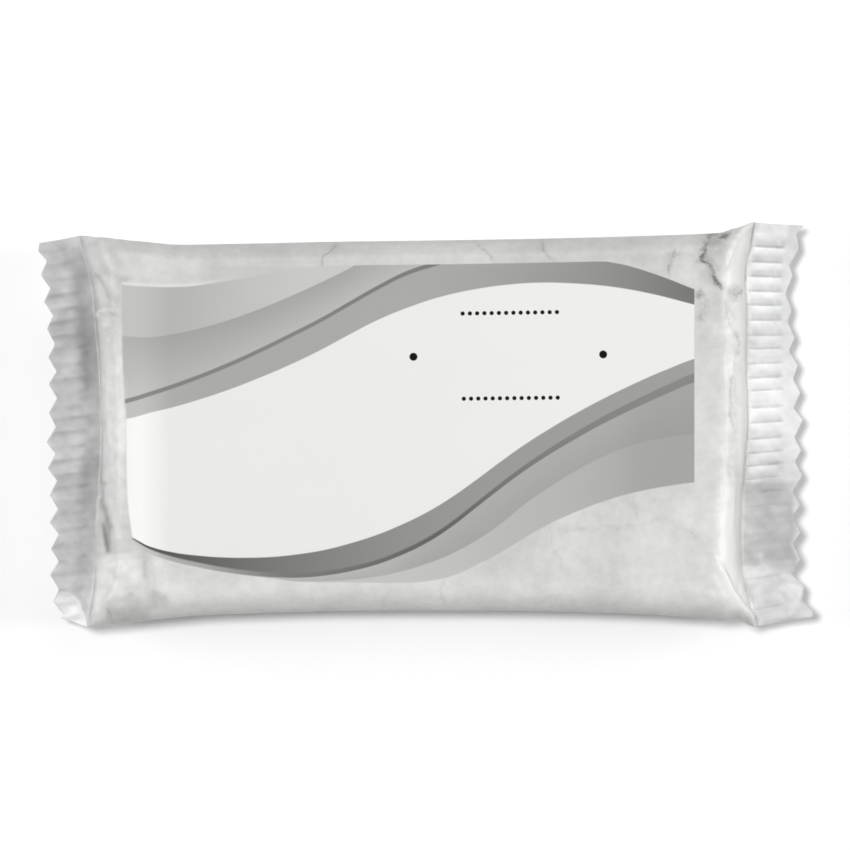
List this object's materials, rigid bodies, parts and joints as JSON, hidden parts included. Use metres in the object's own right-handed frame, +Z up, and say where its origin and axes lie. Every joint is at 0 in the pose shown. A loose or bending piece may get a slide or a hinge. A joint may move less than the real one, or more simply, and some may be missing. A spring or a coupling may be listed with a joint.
{
  "type": "wrapped soap bar",
  "caption": "Small rectangular bar of soap in a sealed film flow wrapper with tucked ends and ridged, saw-toothed end seals.",
  "frame": {"origin": "centre of the pack's box on the plane it rests on, which is the lowest face of the back seam", "axes": "+X along the bar from seal to seal, +Y across it towards the upper side of the printed panel, +Z up out of the printed face"},
  "size_m": [0.0896, 0.0462, 0.016],
  "materials": {
    "printed_film": "satin pearlised polypropylene film, printed in greys with a pale veined-stone ground and a plain panel of curved grey bands"
  },
  "bodies": {
    "root": {"wrapped_bar": "printed_film"}
  },
  "joints": []
}
